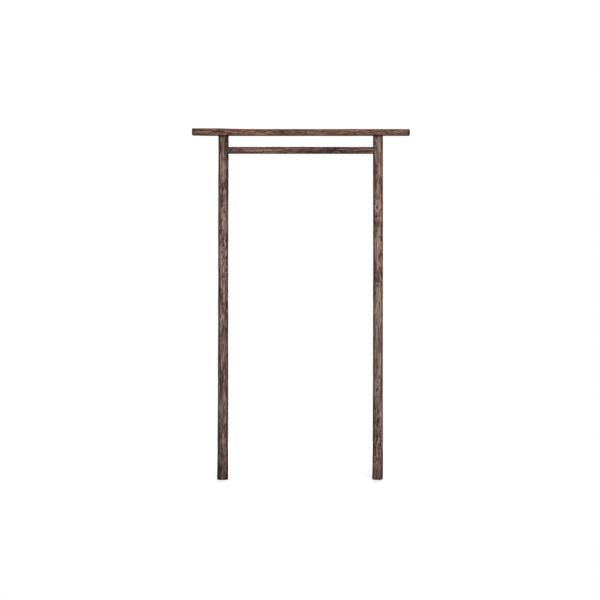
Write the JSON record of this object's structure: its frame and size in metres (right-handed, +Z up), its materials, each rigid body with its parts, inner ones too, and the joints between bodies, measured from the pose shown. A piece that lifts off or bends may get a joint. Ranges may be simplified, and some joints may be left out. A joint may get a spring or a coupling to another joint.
{
  "type": "garden torii gate",
  "caption": "Freestanding garden torii gate of dark brushed cedar: round log posts, a flat lintel overhanging both, and a round tie rail housed between them.",
  "frame": {"origin": "centre of the left post's foot face, at ground level", "axes": "+X along the gate to the right post, -Y to the front, +Z up"},
  "size_m": [1.491, 0.0762, 2.4054],
  "materials": {
    "left_post_wood": "charred and brushed cedar log, dark brown stain, matt",
    "right_post_wood": "charred and brushed cedar log, dark brown stain, matt",
    "lintel_wood": "flat-sawn brushed cedar, dark brown stain, matt",
    "rail_wood": "charred and brushed cedar pole, dark brown stain, matt",
    "screw_steel": "dark bronze coated steel, weathered"
  },
  "bodies": {
    "root": {"left_post": "left_post_wood", "right_post": "right_post_wood", "lintel": "lintel_wood", "tie_rail": "rail_wood", "left_rail_screw": "screw_steel", "right_rail_screw": "screw_steel", "left_lintel_screw": "screw_steel", "right_lintel_screw": "screw_steel"}
  },
  "joints": []
}
